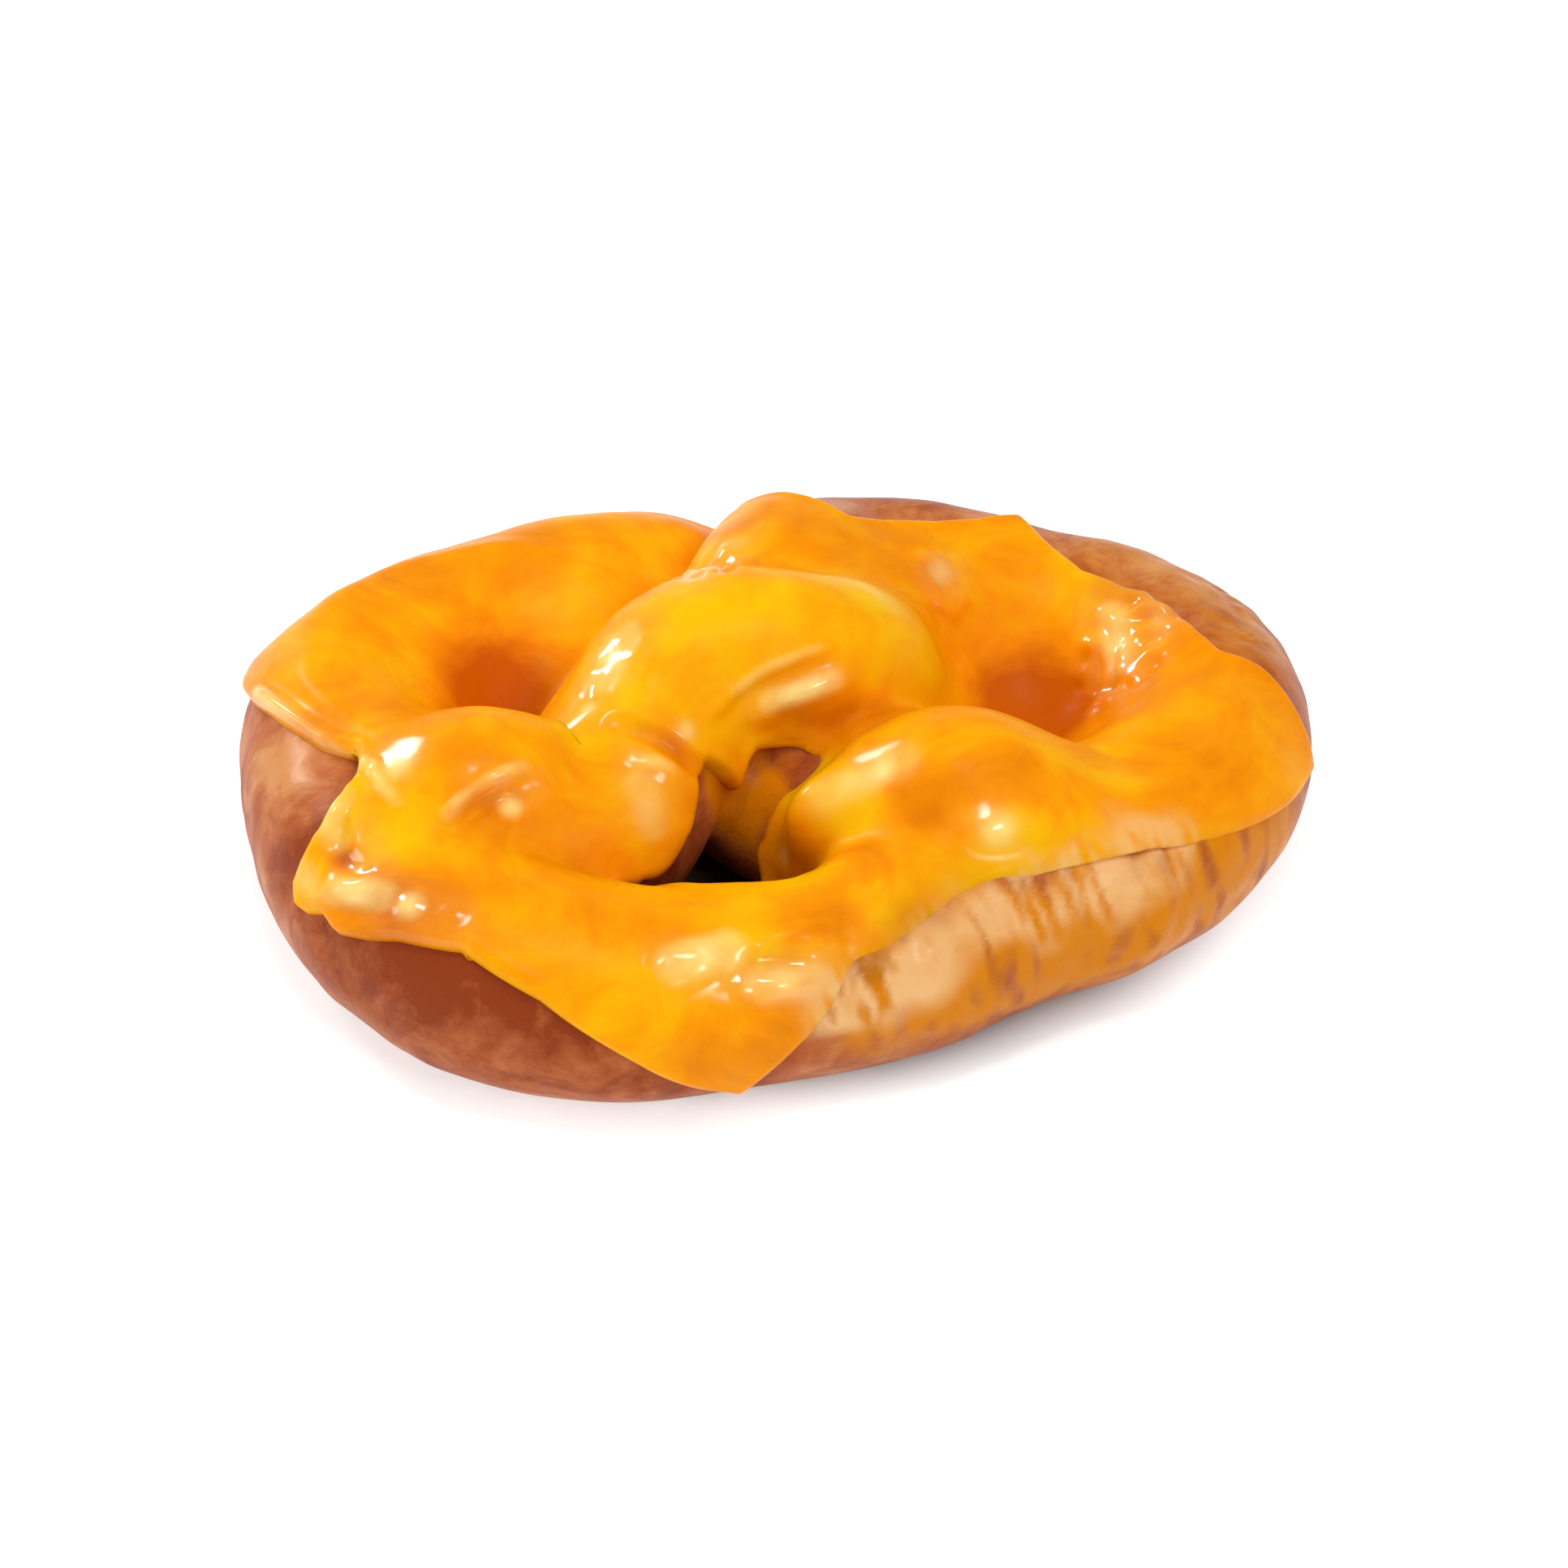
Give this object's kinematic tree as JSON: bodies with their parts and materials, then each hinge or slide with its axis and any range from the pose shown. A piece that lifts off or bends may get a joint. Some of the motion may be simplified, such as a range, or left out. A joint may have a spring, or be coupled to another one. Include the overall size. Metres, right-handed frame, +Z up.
{
  "type": "soft pretzel",
  "caption": "Baked soft pretzel with a full twist, its arms crossed over the ring of dough, under melted cheese slices that sag into the lobes and hang over the side in pointed corners.",
  "frame": {"origin": "on the surface that the pretzel rests on, under the middle of its bounding box", "axes": "+Z up; +X across the pretzel from its left lobe to its right lobe; +Y from the belly of the ring, where the arms' ends lie, to the back"},
  "size_m": [0.1525, 0.1224, 0.0423],
  "materials": {
    "crust": "baked crust, red-brown to chestnut, satin sheen",
    "melted_cheese": "melted orange cheese, glossy"
  },
  "bodies": {
    "root": {"dough": "crust", "cheese": "melted_cheese"}
  },
  "joints": []
}
